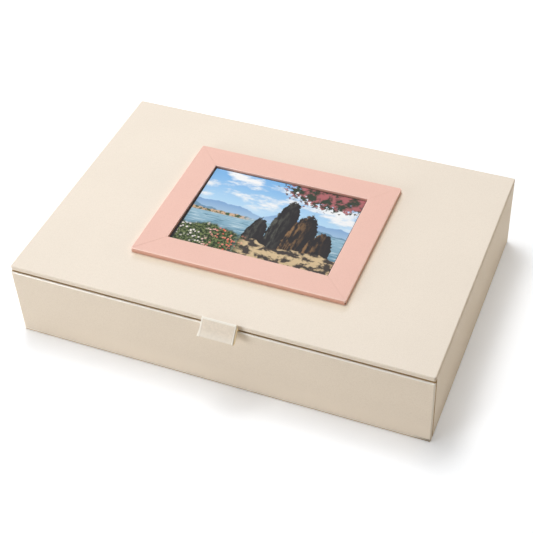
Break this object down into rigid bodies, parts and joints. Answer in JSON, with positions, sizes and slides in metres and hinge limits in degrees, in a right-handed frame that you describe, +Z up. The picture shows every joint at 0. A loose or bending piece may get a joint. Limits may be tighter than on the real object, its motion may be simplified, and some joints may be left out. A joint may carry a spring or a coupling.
{
  "type": "album box",
  "caption": "Leatherette-covered album box with a hinged lid, a drop-down front flap, a ribbon pull and a mitred picture frame on the lid.",
  "frame": {"origin": "on the table, under the middle of the closed box", "axes": "+X along the front from left to right, +Y from the front flap to the back, +Z up"},
  "size_m": [0.33, 0.2339, 0.071],
  "materials": {
    "greyboard": "matt grey bookbinding board",
    "cream_leatherette": "fine-grained cream leatherette, soft satin",
    "pink_leatherette": "smooth blush pink leatherette, soft satin",
    "suede_lining": "matt ivory suede-effect lining",
    "base_paper": "matt textured paper",
    "plate_steel": "plain",
    "magnet_metal": "nickel-plated",
    "black_card": "matt black card",
    "photo_paper": null,
    "cream_ribbon": "cream twill ribbon with woven edges"
  },
  "bodies": {
    "tray": {"base_board": "greyboard", "left_wall_board": "greyboard", "right_wall_board": "greyboard", "back_wall_board": "greyboard", "tray_cover": "cream_leatherette", "back_hinge_cloth": "cream_leatherette", "flap_hinge_cloth": "cream_leatherette", "base_sheet": "base_paper", "floor_lining": "suede_lining", "left_wall_lining": "suede_lining", "right_wall_lining": "suede_lining", "back_wall_lining": "suede_lining", "flap_steel_plates": "plate_steel", "lid_steel_plates": "plate_steel"},
    "front_flap": {"flap_board": "greyboard", "flap_cover": "cream_leatherette", "flap_lining": "suede_lining", "flap_magnets": "magnet_metal"},
    "lid": {"lid_board": "greyboard", "lid_cover": "cream_leatherette", "lid_lining": "suede_lining", "lid_magnets": "magnet_metal", "frame_board_front": "greyboard", "frame_board_back": "greyboard", "frame_board_left": "greyboard", "frame_board_right": "greyboard", "frame_cover_front": "pink_leatherette", "frame_cover_back": "pink_leatherette", "frame_cover_left": "pink_leatherette", "frame_cover_right": "pink_leatherette", "photo_backing": "black_card", "photo_print": "photo_paper", "ribbon_tab": "cream_ribbon"}
  },
  "joints": [
    {"name": "lid_hinge", "type": "hinge", "parent": "tray", "child": "lid", "pos_m": [0, 0.112, 0.0628], "axis": [-1, 0, 0], "range_deg": [0, 175]},
    {"name": "flap_hinge", "type": "hinge", "parent": "tray", "child": "front_flap", "pos_m": [0, -0.112, 0.0003], "axis": [1, 0, 0], "range_deg": [0, 90], "deforming": ["ribbon_tab"]}
  ]
}
